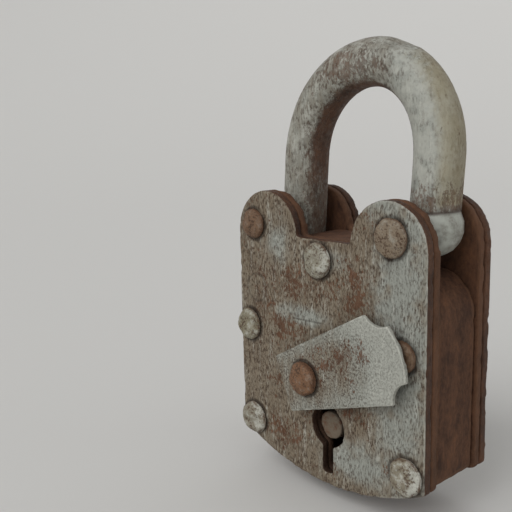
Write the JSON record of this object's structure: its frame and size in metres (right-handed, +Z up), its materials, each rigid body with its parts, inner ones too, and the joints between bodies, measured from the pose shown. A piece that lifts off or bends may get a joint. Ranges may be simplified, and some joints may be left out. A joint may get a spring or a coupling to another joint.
{
  "type": "rusty padlock",
  "caption": "Old riveted iron padlock: round shackle hinged in the ears, laminated side plates with a curved foot, and a fishtail drop cover over the keyhole; rusted and worn.",
  "frame": {"origin": "top of the inside of the shackle's bow, where the padlock hangs", "axes": "+Z up, keyhole side faces -Y, shackle hinge on the +X side"},
  "size_m": [0.0606, 0.0326, 0.108],
  "materials": {
    "worn_plate": "pale weathered finish, streaked and pitted with brown rust",
    "rusty_iron": "dark red-brown rust",
    "worn_bar": "worn grey-beige iron with brown rust inside the bow",
    "rivet_iron": "worn rivet heads, pale to orange-brown",
    "cover_plate": "pale worn plate with brown rust from its rivet outwards",
    "inner_iron": "dark oxidised iron"
  },
  "bodies": {
    "case": {"front_plate": "worn_plate", "front_liner": "rusty_iron", "case_band": "rusty_iron", "back_liner": "rusty_iron", "back_plate": "worn_plate", "hinge_rivet": "rivet_iron", "toe_ear_rivet_front": "rivet_iron", "toe_ear_rivet_back": "rivet_iron", "top_rivet": "rivet_iron", "mid_rivet_left": "rivet_iron", "mid_rivet_right": "rivet_iron", "low_rivet_left": "rivet_iron", "low_rivet_right": "rivet_iron", "cover_rivet": "rivet_iron", "cover_washer": "rivet_iron", "key_post": "inner_iron", "ward_ring_front": "inner_iron", "ward_ring_back": "inner_iron", "bolt_guide_pin_left": "inner_iron", "bolt_guide_pin_right": "inner_iron", "bolt_spring": "inner_iron", "spring_pin": "inner_iron"},
    "shackle": {"shackle": "worn_bar"},
    "cover": {"keyhole_cover": "cover_plate"},
    "bolt": {"bolt": "inner_iron"}
  },
  "joints": [
    {"name": "shackle_swing", "type": "hinge", "parent": "case", "child": "shackle", "pos_m": [0.01582, 0, -0.03235], "axis": [0, 1, 0], "range_deg": [0, 90]},
    {"name": "cover_swing", "type": "hinge", "parent": "case", "child": "cover", "pos_m": [-0.00734, -0.0161, -0.06859], "axis": [0, 1, 0], "range_deg": [-30, 113.5]},
    {"name": "bolt_throw", "type": "slide", "parent": "case", "child": "bolt", "axis": [-1, 0, 0], "range_m": [0, 0.005]}
  ]
}
